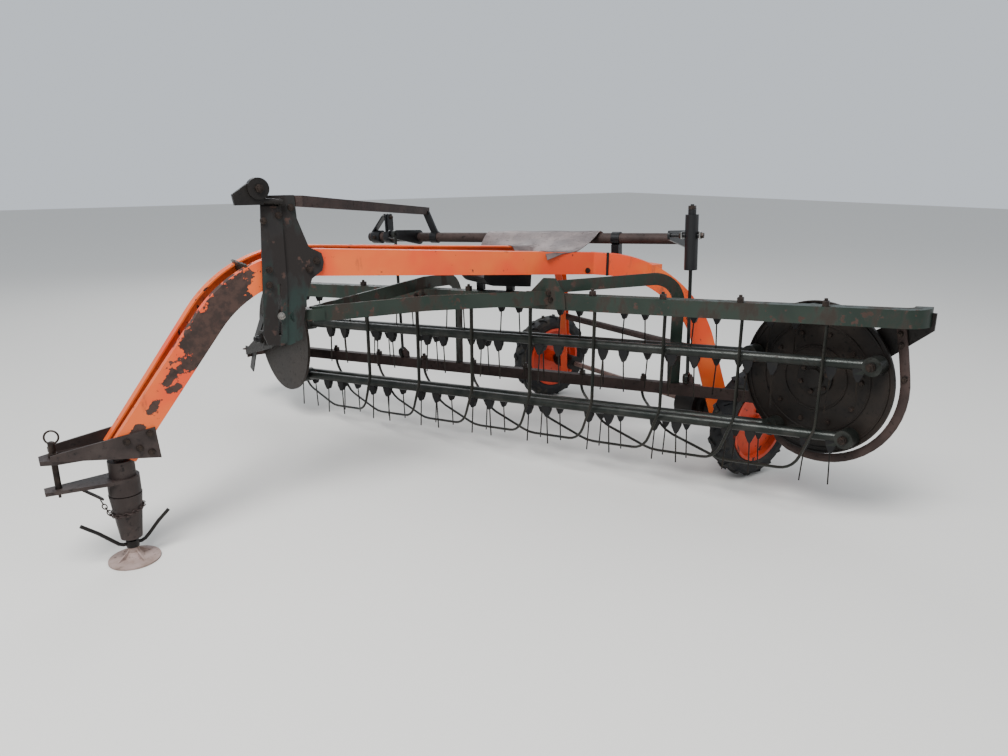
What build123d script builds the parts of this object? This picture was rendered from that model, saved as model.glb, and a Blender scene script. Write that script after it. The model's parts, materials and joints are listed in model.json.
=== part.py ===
from build123d import *
import math
import os

# Side delivery rake with five parallel tooth bars. Millimetres.
# Design frame: +X travel, +Y left, +Z up, origin on the ground under the axle.
# The finished pieces are moved so that the origin is at the middle of the footprint.

# wheels and axle
AXLE_X = -25.0
TYRE_R = 300.0
LUGS_PER_SIDE = 19
LUG_SKEW = 35.0
WHEEL_Y = 890.0
STUB_R = 20.0
RUN_FIT = 0.05

# frame beams are channels with their flanges turned inward
CH_DEPTH = 117.0
CH_FLANGE = 45.0
CH_T = 7.0
BEAM_Y0 = 255.7
BEAM_SLOPE = 0.0617
SEAM_X = 560.0

# reel: two heads, five bars
REAR = Vector(218.5, 1366.0, 689.0)
FRONT = Vector(1686.0, -1485.0, 565.0)
YAW = math.radians(5.93)
DISC_R = 360.0
DISC_OFF = 50.0
DISC_T = 8.0
PIVOT_R = 309.0
BAR_COUNT = 5
FIRST_BAR = 23.2
BAR_R = 24.0
EYE_R = 42.5
PIN_R = 15.0
TOOTH_PAIRS = 9
TOOTH_START = 120.0
TOOTH_PITCH = 357.0
TOOTH_HALF_GAP = 55.0
TOOTH_REACH = 235.0
HOOP_COUNT = 8
HOOP_START = 330.0

# lift gear, seen along the basket
PIVOT = (2015.0, 1185.0, 396.0)
SHAFT_P = -500.0
SHAFT_Z = 594.0
LEVER_LEN = 312.0
LEVER_DEG = 8.0
LIFT_DEG = 3.8
SHAFT_PER_LIFT = 4.9
ROD_PER_LIFT = -4.741
REAR_ROD_W = 620.0
FRONT_ROD_W = HOOP_START + 535 + 4.42 * TOOTH_PITCH
REAR_LEVER_W = REAR_ROD_W + 105
FRONT_LEVER_W = FRONT_ROD_W + 31
LEVER_T = 12.0
ROD_PIN = (-187.5, -100.0)

# hitch and jack
HITCH_X = 3175.0
HITCH_R = 13.5
JACK_X = 2940.0

UP = Vector(0, 0, 1)
N_AX = Vector(math.cos(YAW), math.sin(YAW), 0)
T_AX = Vector(-math.sin(YAW), math.cos(YAW), 0)
E_AX = (FRONT - REAR).normalized()
P_AX = Vector(-E_AX.Y, E_AX.X, 0).normalized()
REEL_LEN = (FRONT - REAR).length
BASKET = Plane(origin=REAR, x_dir=E_AX, z_dir=E_AX.cross(P_AX))
TIP_P = SHAFT_P + LEVER_LEN * math.cos(math.radians(LEVER_DEG))
TIP_Z = SHAFT_Z + LEVER_LEN * math.sin(math.radians(LEVER_DEG))


def at(w, p, z):
    """A point of the basket: w along it, p forward, z up."""
    return BASKET.origin + BASKET.x_dir * w + BASKET.y_dir * p + BASKET.z_dir * z


def head_plane(centre, off):
    """Plane of a reel head, local x along T_AX and y up."""
    return Plane(origin=centre + N_AX * off, x_dir=T_AX, z_dir=N_AX)


def disc(centre, axis, start, end, r_out, r_in=0.0):
    """Cylinder or ring along an axis, between two distances from a centre."""
    plane = Plane(origin=centre + axis * start, z_dir=axis)
    ring = Circle(r_out)
    if r_in:
        ring = ring - Circle(r_in)
    return extrude(plane * ring, amount=end - start, dir=axis)


def rod(a, b, r):
    line = b - a
    return extrude(Plane(origin=a, z_dir=line) * Circle(r), amount=line.length, dir=line)


def prism(plane, pts, start, end):
    """Polygon drawn on a plane, solid between two distances along its normal."""
    face = plane.offset(start) * make_face(Polyline(*pts, close=True))
    return extrude(face, amount=end - start, dir=plane.z_dir)


def strip(plane, pts, radius, width, start, end):
    """Bent strip: a path drawn on a plane, solid between two distances along its normal."""
    path = FilletPolyline(*pts, radius=radius)
    return extrude(plane.offset(start) * trace(path, width), amount=end - start, dir=plane.z_dir)


def channel(plane, pts, radius, side):
    """Bent channel, its web on the plane and its flanges towards side."""
    path = FilletPolyline(*pts, radius=radius)
    way = plane.z_dir * side
    outer = extrude(plane * trace(path, CH_DEPTH), amount=CH_FLANGE, dir=way)
    inner = trace(path, CH_DEPTH - 2 * CH_T)
    hollow = extrude(plane.offset(side * CH_T) * inner, amount=CH_FLANGE, dir=way)
    return outer - hollow


def biggest(shape):
    return max(shape.solids(), key=lambda s: s.volume)


def fuse(*shapes):
    out = shapes[0]
    for s in shapes[1:]:
        out = out + s
    return out


def flip(shape):
    """The same piece on the right-hand side."""
    return mirror(shape, about=Plane.XZ)


parts = {}

# main beams: from the hitch up to the bend, then back to the seam with the axle legs
beam_ang = math.atan(BEAM_SLOPE)
cosb = math.cos(beam_ang)
left_web = Plane(origin=(0, BEAM_Y0, 0), x_dir=(cosb, -math.sin(beam_ang), 0),
                 z_dir=(-math.sin(beam_ang), -cosb, 0))
beam_path = [(2939 / cosb, 500), (2370 / cosb, 1251), ((SEAM_X - 25) / cosb, 1124.5)]
beam = channel(left_web, beam_path, 550, 1)
seam = Vector(SEAM_X, BEAM_Y0 - BEAM_SLOPE * SEAM_X, 0)
back = Vector(-cosb, math.sin(beam_ang), 0)
leg_end = Vector(15, 700, 0)
leg_dir = (leg_end - seam).normalized()
mitre = Plane(origin=seam, z_dir=(back + leg_dir) * -1)
leg_web = Plane(origin=seam, x_dir=leg_dir, z_dir=leg_dir.cross(UP))
leg_line = [(-25, 1127.5), (490, 1100), (751, 245)]
leg = channel(leg_web, leg_line, 580, -1)
left_beam = biggest(split(beam, bisect_by=mitre, keep=Keep.TOP))
left_leg = biggest(split(leg, bisect_by=mitre, keep=Keep.BOTTOM))

# spindles: housing under each leg and the stub that carries the wheel
axle = Vector(AXLE_X, 0, TYRE_R)
y_ax = Vector(0, 1, 0)
spindle = fuse(
    disc(axle, y_ax, 600, 780, 50),
    disc(axle, y_ax, 780, 812, 32),
    disc(axle, y_ax, 812, 962, STUB_R),
    disc(axle, y_ax, 947, 958, 30),
)
left_leg = left_leg - disc(axle, y_ax, 590, 790, 50)
parts["left_frame_beam"] = left_beam
parts["right_frame_beam"] = flip(left_beam)
parts["left_axle_leg"] = biggest(left_leg)
parts["right_axle_leg"] = flip(biggest(left_leg))
parts["left_spindle"] = spindle
parts["right_spindle"] = flip(spindle)
parts["axle_shaft"] = disc(axle, y_ax, -600, 600, 16)
case = fuse(
    disc(axle, y_ax, 425, 560, 108),
    disc(axle, y_ax, 398, 425, 62),
    disc(axle, y_ax, 560, 585, 70),
    disc(axle, y_ax, 385, 398, 40),
)
parts["gear_case"] = case - disc(axle, y_ax, 300, 650, 16)


def between_legs(tube):
    return biggest(tube - parts["left_axle_leg"] - parts["right_axle_leg"])


parts["axle_cross_tube"] = between_legs(disc(Vector(80, 0, 650), y_ax, -628, 628, 21))
member = Pos(300, 0, 1100) * Box(80, 880, 50)
parts["rear_cross_member"] = between_legs(member)
plate = Pos(2362, 0, 1196) * Rot(0, 24, 0) * Box(8, 204, 100)
parts["frame_cross_plate"] = biggest(plate - parts["left_frame_beam"] - parts["right_frame_beam"])

# hitch: side plates on the beams' webs, tongue between them, lower strap round the jack column
side_pts = [(3188, 528), (3188, 549), (3150, 557), (2805, 603), (2795, 468)]
side_plate = prism(left_web, [(x / cosb, z) for x, z in side_pts], -10, 0)
parts["hitch_side_plates"] = Compound(children=[Part() + side_plate, Part() + flip(side_plate)])


def inner_y(x):
    return BEAM_Y0 - BEAM_SLOPE * x


half = [(2895, 28), (2990, 28), (2990, inner_y(2990)), (3172, inner_y(3172)), (3225, 34)]
outline = half + [(x, -y) for x, y in reversed(half)]
hole = Pos(HITCH_X, 0, 450) * Cylinder(HITCH_R, 300)
parts["hitch_tongue"] = prism(Plane.XY, outline, 508, 526) - hole
strap = prism(Plane.XY, [(3225, 30), (3225, -30), (2990, -62), (2950, -62), (2950, 62), (2990, 62)], 375, 390)
jack_mid = Vector(JACK_X, 0, 0)
strap = strap + disc(jack_mid, UP, 314, 390, 64)
parts["hitch_lower_strap"] = strap - disc(jack_mid, UP, 300, 400, 52) - hole

# jack: tapered column with a screw, a foot plate and a bent crank bar
cone = Pos(JACK_X, 0, 208.5) * Cone(43, 66, 203)
column = fuse(cone, disc(jack_mid, UP, 310, 462, 52), disc(jack_mid, UP, 462, 508, 28))
parts["jack_column"] = column - disc(jack_mid, UP, 100, 440, 14.3)
parts["jack_screw"] = disc(jack_mid, UP, 34, 380, 14)
foot_profile = [(0, 0), (105, 0), (105, 7), (40, 16), (25, 34), (0, 34)]
foot_plane = Plane(origin=jack_mid, x_dir=(1, 0, 0), z_dir=(0, -1, 0))
foot = revolve(foot_plane * make_face(Polyline(*foot_profile, close=True)), axis=Axis(jack_mid, UP))
parts["jack_foot"] = foot
crank_pts = [(3112, 0, 118), (2985, 0, 78), (2895, 0, 78), (2768, 0, 128)]
crank_path = FilletPolyline(*crank_pts, radius=30)
crank = sweep(Plane(origin=crank_path @ 0, z_dir=crank_path % 0) * Circle(8), path=crank_path)
crank = crank + disc(jack_mid, UP, 62, 94, 27)
parts["jack_crank"] = crank - disc(jack_mid, UP, 40, 120, 14)


# wheels: lugged tyre and dished rim with its hub, turned about the axle
def wheel_face(sign):
    centre = Vector(AXLE_X, sign * WHEEL_Y, TYRE_R)
    return Plane(origin=centre, x_dir=(0, sign, 0), z_dir=(-sign, 0, 0)), Axis(centre, y_ax)


def tyre(sign):
    face, turn = wheel_face(sign)
    half = [(0, 288), (46, 284), (64, 262), (64, 232), (50, 208), (50, 196)]
    section = [(-y, r) for y, r in half[:0:-1]] + half
    carcass = revolve(face * make_face(Polyline(*section, close=True)), axis=turn)
    lug_pts = [(-27, 278), (-27, 299.06), (8, 297), (31, 284), (34, 262), (8, 272)]
    lugs = []
    for side in (-1, 1):
        for i in range(LUGS_PER_SIDE):
            pts = [(side * y, r) for y, r in lug_pts]
            blank = extrude(Plane.YZ * make_face(Polyline(*pts, close=True)), amount=10, both=True)
            blank = Pos(0, side * 30, 0) * Rot(0, 0, side * LUG_SKEW) * blank
            angle = 360 / LUGS_PER_SIDE * (i + 0.25 * (1 + side))
            lugs.append(Pos(AXLE_X, sign * WHEEL_Y, TYRE_R) * Rot(0, angle + 180, 0) * blank)
    return biggest(carcass.fuse(*[lug.solids()[0] for lug in lugs]))


def rim(sign):
    face, turn = wheel_face(sign)
    bore = STUB_R + RUN_FIT
    section = [
        (-56, 207), (-50, 207), (-50, 196), (50, 196), (50, 207), (56, 207), (56, 190),
        (18, 188), (32, 92), (32, 44), (54, 44), (54, bore), (-74, bore), (-74, 40),
        (24, 40), (24, 88), (8, 188), (-56, 190),
    ]
    return revolve(face * make_face(Polyline(*section, close=True)), axis=turn)


for name, sign in (("left", 1), ("right", -1)):
    parts[name + "_tyre"] = tyre(sign)
    parts[name + "_rim"] = rim(sign)

# post on the left beam, its eye casting, and the stay to the outboard bearing
post_pts = [
    (2303, 1492), (2290, 1521), (2162, 1521), (2157, 1424), (2114, 1302), (2060, 1272), (2052, 1235),
    (2061, 1197), (2109, 1164), (2138, 1086), (2172, 900), (2225, 880), (2323, 893), (2335, 930),
]
face_pts = [(2306, 1478), (2338, 935), (2322, 893), (2262, 882), (2240, 900), (2222, 1138), (2222, 1478)]


def on_web(pts):
    return [(x / cosb, z) for x, z in pts]


post = prism(left_web, on_web(post_pts), -12, 0) + prism(left_web, on_web(face_pts), -22, -12)
slot = left_web * Pos(2262 / cosb, 1040, -11) * Rot(0, 0, 3) * Box(15, 225, 60)
post = post - slot
pin_mid = at(*PIVOT)
post_pin = fuse(
    disc(pin_mid, E_AX, -24, 7.5, 28),
    disc(pin_mid, E_AX, 7.5, 53, 16),
    disc(pin_mid, E_AX, 52.5, 60.5, 26),
)
parts["post_plate"] = post + post_pin
eye_mid = Vector(2319, inner_y(2319) + 22, 1551)
out_ax = left_web.z_dir * -1
eye_hole = disc(eye_mid, out_ax, -5, 45, 15)
eye = disc(eye_mid, out_ax, 0, 40, 43.5) - eye_hole
arm_pts = [(2421, 1528), (2414, 1486), (2300, 1486), (2290, 1530), (2300, 1580), (2345, 1580)]
eye_arm = prism(left_web, on_web(arm_pts), -50, -26) - eye_hole
eye_bar = rod(Vector(2305, inner_y(2305) + 36, 1502), Vector(2222, inner_y(2222) + 36, 1494), 12)
eye_bar = eye_bar + rod(Vector(2226, inner_y(2226) + 36, 1494), Vector(2226, inner_y(2226) + 12, 1494), 17)
parts["post_eye"] = biggest(fuse(eye, eye_arm, eye_bar) - eye_hole - post)

shaft_mid = at(0, SHAFT_P, SHAFT_Z)
bearing_w = (1127.0, 1520.0, 2355.0)
bearing_half = 24.0
stay_end = at(2425, SHAFT_P, SHAFT_Z + 166)
stay_start = Vector(2150, inner_y(2150) + 12, 1496)
stay_dir = (stay_end - stay_start).normalized()
stay = Plane(origin=stay_start, x_dir=stay_dir.cross(UP), z_dir=stay_dir) * Rectangle(46, 46)
stay = extrude(stay, amount=(stay_end - stay_start).length + 30, dir=stay_dir)
parts["stay_bar"] = biggest(stay - post)

# rockshaft bearings: on the cross member, on the right seam, and hung from the stay
parts["rockshaft_tube"] = disc(shaft_mid, E_AX, REAR_LEVER_W, 2865, 30)
rings = [disc(shaft_mid, E_AX, w - bearing_half, w + bearing_half, 46) for w in bearing_w]


def pedestal(w, bottom, spread):
    pts = [(SHAFT_P - spread, bottom), (SHAFT_P + spread, bottom), (SHAFT_P + 40, SHAFT_Z), (SHAFT_P - 40, SHAFT_Z)]
    plane = Plane(origin=at(w, 0, 0), x_dir=P_AX, z_dir=E_AX)
    return prism(plane, pts, -bearing_half, bearing_half)


cover_plane = Plane(origin=at(0, 0, 0), x_dir=P_AX, z_dir=E_AX)
foot_1 = rings[0] + pedestal(bearing_w[0], SHAFT_Z - 150, 40)
foot_1 = foot_1 - parts["rear_cross_member"]
foot_2 = rings[1] + pedestal(bearing_w[1], SHAFT_Z - 100, 70)
foot_2 = foot_2 - parts["right_frame_beam"] - parts["right_axle_leg"]
foot_2 = foot_2 + prism(cover_plane, [(-518, 600), (-482, 600), (-482, 666), (-518, 666)], 1506, 1534)
hang_plane = Plane(origin=at(0, SHAFT_P, 0), x_dir=E_AX, z_dir=P_AX * -1)
hang_pts = [(bearing_w[2] - 24, SHAFT_Z), (bearing_w[2] + 24, SHAFT_Z), (2442, SHAFT_Z + 188), (2398, SHAFT_Z + 188)]
foot_3 = rings[2] + prism(hang_plane, hang_pts, -9, 9) - parts["stay_bar"]
shaft_hole = disc(shaft_mid, E_AX, 600, 3000, 30 + RUN_FIT)

# weathered cover over the rockshaft, curved round it
cover_pts = [(-565, 640), (-520, 668), (-430, 662), (-350, 628), (-318, 602)]
parts["shield"] = strip(cover_plane, cover_pts, 30, 4, 1235, 1985)
feet = [biggest(f - shaft_hole - parts["shield"]) for f in (foot_1, foot_2, foot_3)]
parts["rockshaft_bearings"] = Compound(children=[Part() + f for f in feet])


def lever(w, thick):
    ang = math.radians(LEVER_DEG)
    plane = Plane(origin=at(w, SHAFT_P, SHAFT_Z), x_dir=P_AX, z_dir=E_AX)
    pts = [(0, 46), (LEVER_LEN, 24), (LEVER_LEN, -24), (0, -46)]
    turned = [(x * math.cos(ang) - z * math.sin(ang), x * math.sin(ang) + z * math.cos(ang)) for x, z in pts]
    arm = prism(plane, turned, 0, thick)
    arm = arm + disc(plane.origin, E_AX, 0, thick, 46)
    tip = at(w, TIP_P, TIP_Z)
    arm = arm + disc(tip, E_AX, 0, thick, 24)
    return arm - disc(plane.origin, E_AX, -5, thick + 5, 30), tip


rear_lever, rear_tip = lever(REAR_LEVER_W, LEVER_T)
front_lever, front_tip = lever(FRONT_LEVER_W, LEVER_T)
parts["rear_lift_lever"] = rear_lever + disc(rear_tip, E_AX, REAR_ROD_W - 43 - REAR_LEVER_W, 4, 10)
parts["front_lift_lever"] = front_lever + disc(front_tip, E_AX, FRONT_ROD_W - 18 - FRONT_LEVER_W, 4, 10)


def lift_rod(w, top_z, r):
    lower = at(w, *ROD_PIN)
    body = rod(at(w, TIP_P, top_z), at(w, ROD_PIN[0], ROD_PIN[1] + 26), r)
    return body + disc(lower, E_AX, -8, 8, 32) - disc(lower, E_AX, -20, 20, 21)


rear_rod = lift_rod(REAR_ROD_W, 468, 9)
can_mid = at(REAR_ROD_W, TIP_P, 0)
can_ax = BASKET.z_dir
can = fuse(
    disc(can_mid, can_ax, 466, 740, 33),
    disc(can_mid, can_ax, 740, 765, 20),
    disc(can_mid, can_ax, 765, 790, 9),
)
parts["rear_spring_can"] = can - disc(at(REAR_ROD_W, TIP_P, TIP_Z), E_AX, -60, 60, 10 + RUN_FIT)
parts["rear_lift_rod"] = biggest(rear_rod - can)
front_rod = lift_rod(FRONT_ROD_W, TIP_Z - 10, 9)
front_rod = front_rod + disc(at(FRONT_ROD_W, TIP_P, TIP_Z), E_AX, -10, 10, 24)
parts["front_lift_rod"] = front_rod - disc(at(FRONT_ROD_W, TIP_P, TIP_Z), E_AX, -30, 30, 10 + RUN_FIT)


def rod_bracket(w):
    plane = Plane(origin=at(w, 0, 0), x_dir=P_AX, z_dir=E_AX)
    pts = [(-230, -140), (-190, -140), (-168, -112), (-168, -90), (-180, -80), (-198, -80), (-230, -108)]
    ears = [prism(plane, pts, 13, 21), prism(plane, pts, -21, -13)]
    return fuse(ears[0], ears[1], disc(at(w, *ROD_PIN), E_AX, -21, 21, 8))


parts["rod_brackets"] = Compound(children=[Part() + rod_bracket(w) for w in (REAR_ROD_W, FRONT_ROD_W)])

# basket beams: angle bars, the front one curved at the rear end, the rear one at the front end
face_path = [(3147, 164), (-460, 164), (-460, 50)]
flange_path = [(3147, 134), (-430, 134), (-430, 50)]
front_beam = strip(BASKET, face_path, 100, 8, 290, 368) + strip(BASKET, flange_path, 70, 68, 360, 368)
low_face = [(264, -194), (3660, -194), (3660, -30)]
low_flange = [(560, -212.5), (3678.5, -212.5), (3678.5, -30)]
rear_beam = strip(BASKET, low_face, 120, 8, -200, -140) + strip(BASKET, low_flange, 138.5, 45, -148, -140)

# strippers: bent rods round the reel between the teeth, bolted through both beams' flanges
hoop_front = 415.0
hoop_back = 573.0
hoop_path = [(hoop_front, 384), (hoop_front, -170), (330, -395), (-60, -462), (-400, -405),
             (-hoop_back, -250), (-hoop_back, -124)]
hoop_bends = (130, 130, 300, 160, 90)
hoops = []
for k in range(HOOP_COUNT):
    u = HOOP_START + TOOTH_PITCH * k
    plane = Plane(origin=REAR + E_AX * u, x_dir=T_AX, z_dir=N_AX)
    path = plane * FilletPolyline(*hoop_path, radius=hoop_bends)
    section = Plane(origin=path @ 0, z_dir=path % 0) * RegularPolygon(8, 8)
    hoop = sweep(section, path=path)
    front_head_at = Pos(u - 0.932 * hoop_front, 0.3627 * hoop_front, 374)
    back_head_at = Pos(u + 0.932 * hoop_back, -0.3627 * hoop_back, -134)
    heads = [BASKET * place * Box(26, 26, 12) for place in (front_head_at, back_head_at)]
    hoops.append(fuse(hoop, *heads))
for h in hoops:
    front_beam = front_beam - h
    rear_beam = rear_beam - h
parts["front_top_beam"] = biggest(front_beam)
parts["rear_bottom_beam"] = biggest(rear_beam)
parts["strippers"] = Compound(children=[Part() + biggest(h) for h in hoops])

# arms and arches: flat bars set on edge
def upright(a, b):
    way = Vector(b.X - a.X, b.Y - a.Y, 0).normalized()
    return Plane(origin=Vector(a.X, a.Y, 0), x_dir=way, z_dir=way.cross(UP))


def cut_local(shape, origin, z_dir):
    return biggest(split(shape, bisect_by=Plane(origin=origin, z_dir=z_dir), keep=Keep.TOP))


bracket_pts = [(2024, 1200), (2066, 1200), (2066, 1090), (2012, 1050), (1928, 1072), (1955, 1110), (2024, 1150)]
bracket = prism(BASKET, bracket_pts, 360, 412) + disc(pin_mid, E_AX, 8, 52, 34)
bracket = bracket - disc(pin_mid, E_AX, -30, 90, 16 + RUN_FIT)
parts["pivot_bracket"] = biggest(bracket)
gusset_pts = [(1150, 296), (1350, 296), (1345, 380), (1270, 452), (1205, 452), (1155, 375)]
gusset_plane = Plane(origin=at(0, 168, 0), x_dir=E_AX, z_dir=P_AX * -1)
parts["gusset_plate"] = prism(gusset_plane, gusset_pts, -10, 0)
left_from = at(1975, 1100, 386)
left_to = at(1250, 178, 352)
lplane = upright(left_from, left_to)
llen = math.hypot(left_to.X - left_from.X, left_to.Y - left_from.Y)
left_arm = strip(lplane, [(0, left_from.Z), (llen * 0.45, left_from.Z + 12), (llen + 20, left_to.Z)], 900, 72, -5, 5)
parts["left_arm"] = cut_local(left_arm - parts["pivot_bracket"], at(0, 178, 0), P_AX)
right_from = at(2000, 1085, 386)
right_to = at(2034, -208, -140)
rplane = upright(right_from, right_to)
rlen = math.hypot(right_to.X - right_from.X, right_to.Y - right_from.Y)
right_pts = [(0, right_from.Z), (930, 1013), (rlen, 990), (rlen, right_to.Z - 20)]
right_arm = strip(rplane, right_pts, 130, 66, -5, 5)
right_arm = right_arm - parts["pivot_bracket"] - parts["front_top_beam"]
parts["right_arm"] = cut_local(biggest(right_arm), at(0, 0, -140), BASKET.z_dir)
arch_from = at(1258, 178, 410)
arch_to = at(700, -210, -140)
aplane = upright(arch_from, arch_to)
alen = math.hypot(arch_to.X - arch_from.X, arch_to.Y - arch_from.Y)
arch_pts = [(0, 1044), (alen, 1088), (alen, arch_to.Z - 20)]
arch = strip(aplane, arch_pts, 130, 62, -5, 5)
arch = cut_local(arch - parts["front_top_beam"], at(0, 168, 0), P_AX * -1)
parts["rear_arch"] = cut_local(arch, at(0, 0, -140), BASKET.z_dir)

# bearing brackets that carry the reel heads
rb_plane = head_plane(REAR, 0)
rb_pts = [(-334, -202), (-334, -138), (-70, 62), (395, 366), (464, 366), (464, 292), (75, -55), (0, -78)]
rear_brk = prism(rb_plane, rb_pts, -90, -80) + disc(REAR, N_AX, -105, -72, 60)
rear_brk = rear_brk - disc(REAR, N_AX, -130, -60, STUB_R + RUN_FIT) - front_beam - rear_beam
parts["rear_bearing_bracket"] = biggest(rear_brk)
fb_plane = head_plane(FRONT, 0)
fb_pts = [(132, 292), (132, 366), (66, 366), (-70, 55), (-400, -138), (-445, -138), (-445, -202), (-20, -80), (62, -40)]
front_brk = prism(fb_plane, fb_pts, 125, 135) + disc(FRONT, N_AX, 118, 200, 52)
front_brk = front_brk - disc(FRONT, N_AX, 60, 260, STUB_R + RUN_FIT) - front_beam - rear_beam
parts["front_bearing_bracket"] = biggest(front_brk)

# guard band that carries the strippers' line round the rear end
guard_path = [(452, 292), (450, -150), (250, -425), (-130, -425), (-235, -330)]
guard = strip(head_plane(REAR, -88), guard_path, 190, 8, -18, 18)
link = prism(rb_plane, [(-262, -152), (-200, -100), (-160, -320), (-235, -352)], -90, -80)
guard = guard - front_beam
parts["end_guard"] = biggest(fuse(guard, link) - parts["rear_bearing_bracket"] - front_beam - rear_beam)

# heads: disc, centre shaft and one pin for each bar
pivots = []
for i in range(BAR_COUNT):
    ang = math.radians(FIRST_BAR - 72 * i)
    pivots.append(T_AX * (PIVOT_R * math.cos(ang)) + UP * (PIVOT_R * math.sin(ang)))


def head(centre, side):
    """side -1 puts the disc behind the pivots, +1 in front of them."""
    ax = N_AX * side
    body = disc(centre, ax, DISC_OFF - DISC_T / 2, DISC_OFF + DISC_T / 2, DISC_R)
    body = body + disc(centre, ax, DISC_OFF, DISC_OFF + 14, 70)
    body = body + disc(centre, ax, DISC_OFF - 12, DISC_OFF, DISC_R, DISC_R - 7)
    for v in pivots:
        c = centre + v
        body = body + disc(c, ax, 28.5, DISC_OFF, 30)
        body = body + disc(c, ax, -40.5, DISC_OFF, PIN_R)
        body = body + disc(c, ax, -48.5, -40.5, 20)
    return body


rear_head = head(REAR, -1) + disc(REAR, N_AX * -1, 50, 112, STUB_R) + disc(REAR, N_AX * -1, 106, 116, 32)
front_head = head(FRONT, 1) + disc(FRONT, N_AX, 50, 208, STUB_R) + disc(FRONT, N_AX, 201, 212, 32)
parts["rear_head_disc"] = rear_head
parts["front_head_disc"] = front_head

# tooth bars: tube with an eye at each end, tooth mounts below it and a wire tine in each
def tooth_bar():
    bar = rod(REAR, FRONT, BAR_R)
    bar = bar + disc(REAR, N_AX, -28, 40, EYE_R) + disc(FRONT, N_AX, -40, 28, EYE_R)
    teeth = []
    for k in range(TOOTH_PAIRS):
        for side in (-1, 1):
            u = TOOTH_START + TOOTH_PITCH * k + side * TOOTH_HALF_GAP
            plane = Plane(origin=REAR + E_AX * u, x_dir=E_AX, z_dir=P_AX * -1)
            mount_pts = [(-25, -12), (25, -12), (21, -42), (6, -76), (-6, -76), (-21, -42)]
            teeth.append(prism(plane, mount_pts, -17, 17))
            tip = plane.origin - UP * TOOTH_REACH + E_AX * (8 * side)
            root = plane.origin - UP * 70
            line = tip - root
            wire = Plane(origin=root, z_dir=line) * RegularPolygon(3.6, 6)
            teeth.append(extrude(wire, amount=line.length, dir=line))
    bar = bar.fuse(*[t.solids()[0] for t in teeth])
    return biggest(bar - disc(REAR, N_AX, -60, 60, PIN_R + 0.1) - disc(FRONT, N_AX, -60, 60, PIN_R + 0.3))


first_bar = tooth_bar()
for i, v in enumerate(pivots):
    parts["tooth_bar_%d" % (i + 1)] = Pos(v.X, v.Y, v.Z) * first_bar

# origin: middle of the footprint, on the ground
whole = Compound(children=[Part() + p for p in parts.values()])
box = whole.bounding_box()
SHIFT = Vector(-(box.min.X + box.max.X) / 2, -(box.min.Y + box.max.Y) / 2, 0)

os.makedirs("parts", exist_ok=True)
for name, shape in parts.items():
    moved = Pos(SHIFT.X, SHIFT.Y, SHIFT.Z) * shape
    export_step(moved, "parts/" + name + ".step")
print("nodes", len(parts), "size", box.size, "shift", SHIFT)
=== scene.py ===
import json
import math

import bmesh
import bpy
from bpy.props import FloatProperty, FloatVectorProperty, IntProperty, PointerProperty
from mathutils import Matrix, Quaternion, Vector


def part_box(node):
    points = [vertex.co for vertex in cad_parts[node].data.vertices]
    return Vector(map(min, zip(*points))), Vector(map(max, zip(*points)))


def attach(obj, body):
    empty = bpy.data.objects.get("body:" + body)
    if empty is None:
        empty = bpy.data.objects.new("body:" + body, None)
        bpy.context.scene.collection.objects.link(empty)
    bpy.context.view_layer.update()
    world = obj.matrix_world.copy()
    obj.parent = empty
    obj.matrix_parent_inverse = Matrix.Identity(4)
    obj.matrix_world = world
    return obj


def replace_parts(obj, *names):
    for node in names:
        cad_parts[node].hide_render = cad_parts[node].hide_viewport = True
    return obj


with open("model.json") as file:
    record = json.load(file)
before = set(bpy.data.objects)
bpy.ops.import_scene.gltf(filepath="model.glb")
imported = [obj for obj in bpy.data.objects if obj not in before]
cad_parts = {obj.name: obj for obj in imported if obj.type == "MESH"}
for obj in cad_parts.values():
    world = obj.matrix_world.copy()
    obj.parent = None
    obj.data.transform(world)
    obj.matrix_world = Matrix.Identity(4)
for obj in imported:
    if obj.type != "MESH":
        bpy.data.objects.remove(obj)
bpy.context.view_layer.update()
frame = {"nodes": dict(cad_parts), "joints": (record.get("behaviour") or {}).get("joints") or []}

bl_info = {
    "name": "Side delivery rake",
    "version": (1, 0, 0),
    "blender": (4, 5, 0),
    "location": "3D View > Sidebar > Rake",
    "description": "Dresses the CAD rake with its fastenings, fittings, finishes and a plain stage",
    "category": "Object",
}

# The design frame: millimetres, +X travel, +Y left, +Z up, origin on the ground near the axle.
MM = 0.001
AXLE_X = -25.0
WHEEL_Y = 890.0
AXLE_Z = 300.0
left_low, left_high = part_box("left_tyre")
right_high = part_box("right_tyre")[1]
ORIGIN = Vector(((left_low.x + left_high.x) / 2 - AXLE_X * MM, (left_low.y + right_high.y) / 2, 0))
X, Y, Z = Vector((1, 0, 0)), Vector((0, 1, 0)), Vector((0, 0, 1))


def spot(x, y, z):
    return ORIGIN + Vector((x, y, z)) * MM


def joint(name):
    """A hinge's place and axis at rest."""
    found = next(j for j in frame["joints"] if j["name"] == name)
    return Vector(found["pos_m"]), Vector(found["axis"]).normalized()


# The basket's own axes: w along it from the rear head, p ahead of it, z up.
REAR, SPIN = joint("rear_head_spin")
FRONT = joint("front_head_spin")[0]
ALONG = (FRONT - REAR).normalized()
AHEAD = Vector((-ALONG.y, ALONG.x, 0)).normalized()
RISE = ALONG.cross(AHEAD)
REEL = (FRONT - REAR).length / MM
BARS = range(1, 6)
PIVOTS = [joint("bar_%d_swing" % number)[0] for number in BARS]
SPIN_ACROSS = Z.cross(SPIN).normalized()
# The rockshaft lies along the basket, behind it and above it.
SHAFT_P = -500
SHAFT_Z = 594


def basket(w, p, z):
    return REAR + (ALONG * w + AHEAD * p + RISE * z) * MM


def shaft(w, z=SHAFT_Z):
    return basket(w, SHAFT_P, z)


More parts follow.
